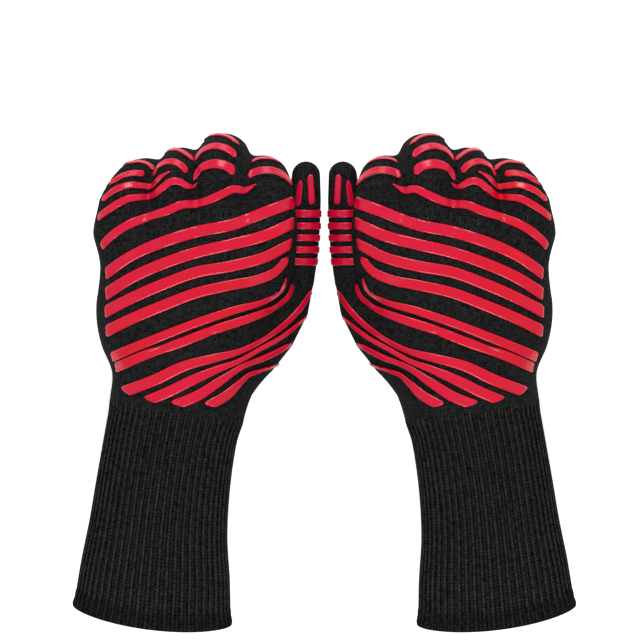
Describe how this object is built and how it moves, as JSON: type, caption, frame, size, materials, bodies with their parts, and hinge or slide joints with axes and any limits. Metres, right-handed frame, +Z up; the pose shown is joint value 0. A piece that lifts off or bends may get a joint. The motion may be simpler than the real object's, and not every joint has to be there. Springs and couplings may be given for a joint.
{
  "type": "heat resistant glove pair",
  "caption": "Knitted heat resistant grill gloves with ribbed gauntlet cuffs, cotton linings and raised silicone stripes, shaped as on closed hands lying palm down.",
  "frame": {"origin": "centre of the pair's bounding box, on the table that the gloves lie on", "axes": "+X from the left glove to the right glove, +Y from the cuffs to the knuckles, +Z up through the backs of the hands"},
  "size_m": [0.2578, 0.26, 0.0865],
  "materials": {
    "aramid_knit": "fine black seamless knit, matt",
    "ribbed_knit": "black ribbed knit, matt",
    "hem_binding": "black overlocked edge, matt",
    "cotton_lining": "undyed cotton knit, matt",
    "silicone_stripe": "red silicone, smooth and glossy"
  },
  "bodies": {
    "left_glove": {"left_hand_knit": "aramid_knit", "left_index_stall": "aramid_knit", "left_middle_stall": "aramid_knit", "left_ring_stall": "aramid_knit", "left_little_stall": "aramid_knit", "left_thumb_stall": "aramid_knit", "left_cuff": "ribbed_knit", "left_hem": "hem_binding", "left_cuff_lining": "cotton_lining", "left_hand_lining": "cotton_lining", "left_index_lining": "cotton_lining", "left_middle_lining": "cotton_lining", "left_ring_lining": "cotton_lining", "left_little_lining": "cotton_lining", "left_thumb_lining": "cotton_lining", "left_back_stripes": "silicone_stripe", "left_palm_stripes": "silicone_stripe", "left_index_stripes": "silicone_stripe", "left_middle_stripes": "silicone_stripe", "left_ring_stripes": "silicone_stripe", "left_little_stripes": "silicone_stripe", "left_thumb_stripes": "silicone_stripe"},
    "right_glove": {"right_hand_knit": "aramid_knit", "right_index_stall": "aramid_knit", "right_middle_stall": "aramid_knit", "right_ring_stall": "aramid_knit", "right_little_stall": "aramid_knit", "right_thumb_stall": "aramid_knit", "right_cuff": "ribbed_knit", "right_hem": "hem_binding", "right_cuff_lining": "cotton_lining", "right_hand_lining": "cotton_lining", "right_index_lining": "cotton_lining", "right_middle_lining": "cotton_lining", "right_ring_lining": "cotton_lining", "right_little_lining": "cotton_lining", "right_thumb_lining": "cotton_lining", "right_back_stripes": "silicone_stripe", "right_palm_stripes": "silicone_stripe", "right_index_stripes": "silicone_stripe", "right_middle_stripes": "silicone_stripe", "right_ring_stripes": "silicone_stripe", "right_little_stripes": "silicone_stripe", "right_thumb_stripes": "silicone_stripe"}
  },
  "joints": [
    {"name": "right_glove_lift", "type": "slide", "parent": "left_glove", "child": "right_glove", "axis": [0, 0, 1], "range_m": [0, 0.15]}
  ]
}
